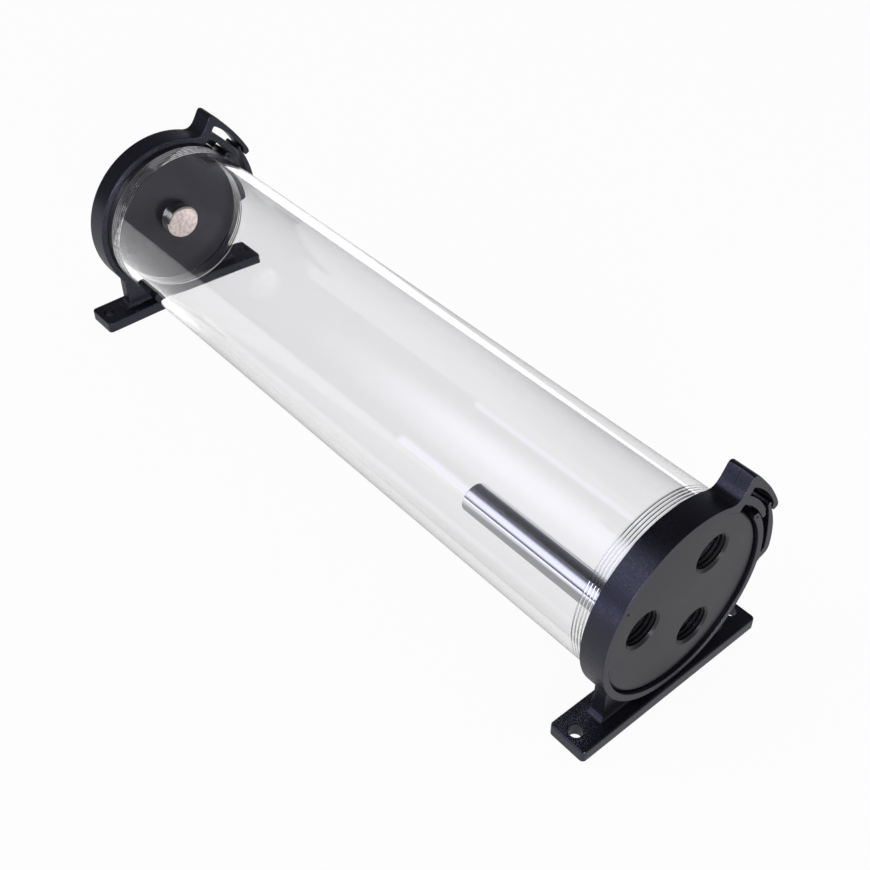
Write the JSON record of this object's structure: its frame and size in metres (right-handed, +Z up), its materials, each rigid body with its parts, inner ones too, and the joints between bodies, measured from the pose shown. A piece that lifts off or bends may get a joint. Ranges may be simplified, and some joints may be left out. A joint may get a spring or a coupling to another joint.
{
  "type": "cylindrical water cooling reservoir",
  "caption": "Clear tube reservoir lying in two black snap clamp feet, with a threaded port cap, an inner standpipe and a plugged fill cap.",
  "frame": {"origin": "on the surface under the feet, midway between the two foot plates", "axes": "+X along the tank towards the cap with three ports, +Y to the side where the snap latch is, +Z up"},
  "size_m": [0.273, 0.0746, 0.0736],
  "materials": {
    "clear_acrylic": "polished clear acrylic",
    "black_acetal": "fine turned satin",
    "black_nylon": "moulded, finely grained",
    "seal_rubber": "smooth",
    "polished_metal": "polished",
    "black_plated": "glossy black plating"
  },
  "bodies": {
    "holders": {"port_end_cradle": "black_nylon", "fill_end_cradle": "black_nylon"},
    "port_end_strap": {"port_end_strap": "black_nylon"},
    "fill_end_strap": {"fill_end_strap": "black_nylon"},
    "tank": {"reservoir_tube": "clear_acrylic"},
    "port_cap_seal": {"port_cap_seal": "seal_rubber"},
    "port_cap": {"port_cap": "black_acetal", "standpipe": "polished_metal"},
    "fill_cap_seal": {"fill_cap_seal": "seal_rubber"},
    "fill_cap": {"fill_cap": "black_acetal"},
    "fill_plug_seal": {"fill_plug_seal": "seal_rubber"},
    "fill_plug": {"fill_plug": "black_plated"}
  },
  "joints": [
    {"name": "port_end_latch", "type": "hinge", "parent": "holders", "child": "port_end_strap", "pos_m": [0.13105, -0.0325, 0.0376], "axis": [1, 0, 0], "range_deg": [0, 35]},
    {"name": "fill_end_latch", "type": "hinge", "parent": "holders", "child": "fill_end_strap", "pos_m": [-0.12835, -0.0325, 0.0376], "axis": [1, 0, 0], "range_deg": [0, 35]},
    {"name": "tank_turn", "type": "hinge", "parent": "holders", "child": "tank", "pos_m": [0.00135, 0, 0.0376], "axis": [1, 0, 0], "continuous": true},
    {"name": "port_cap_travel", "type": "slide", "parent": "tank", "child": "port_cap_seal", "axis": [1, 0, 0], "range_m": [0, 0.006]},
    {"name": "port_cap_screw", "type": "hinge", "parent": "port_cap_seal", "child": "port_cap", "pos_m": [0.00135, 0, 0.0376], "axis": [1, 0, 0], "range_deg": [0, 1440]},
    {"name": "fill_cap_travel", "type": "slide", "parent": "tank", "child": "fill_cap_seal", "axis": [-1, 0, 0], "range_m": [0, 0.006]},
    {"name": "fill_cap_screw", "type": "hinge", "parent": "fill_cap_seal", "child": "fill_cap", "pos_m": [0.00135, 0, 0.0376], "axis": [-1, 0, 0], "range_deg": [0, 1440]},
    {"name": "fill_plug_travel", "type": "slide", "parent": "fill_cap", "child": "fill_plug_seal", "axis": [-1, 0, 0], "range_m": [0, 0.01471]},
    {"name": "fill_plug_screw", "type": "hinge", "parent": "fill_plug_seal", "child": "fill_plug", "pos_m": [0.00135, 0, 0.0376], "axis": [-1, 0, 0], "range_deg": [0, 3960]}
  ],
  "couplings": [
    {"joint": "port_cap_travel", "follows": "port_cap_screw", "m_per_rad": 0.00023873},
    {"joint": "fill_cap_travel", "follows": "fill_cap_screw", "m_per_rad": 0.00023873},
    {"joint": "fill_plug_travel", "follows": "fill_plug_screw", "m_per_rad": 0.00021279}
  ]
}
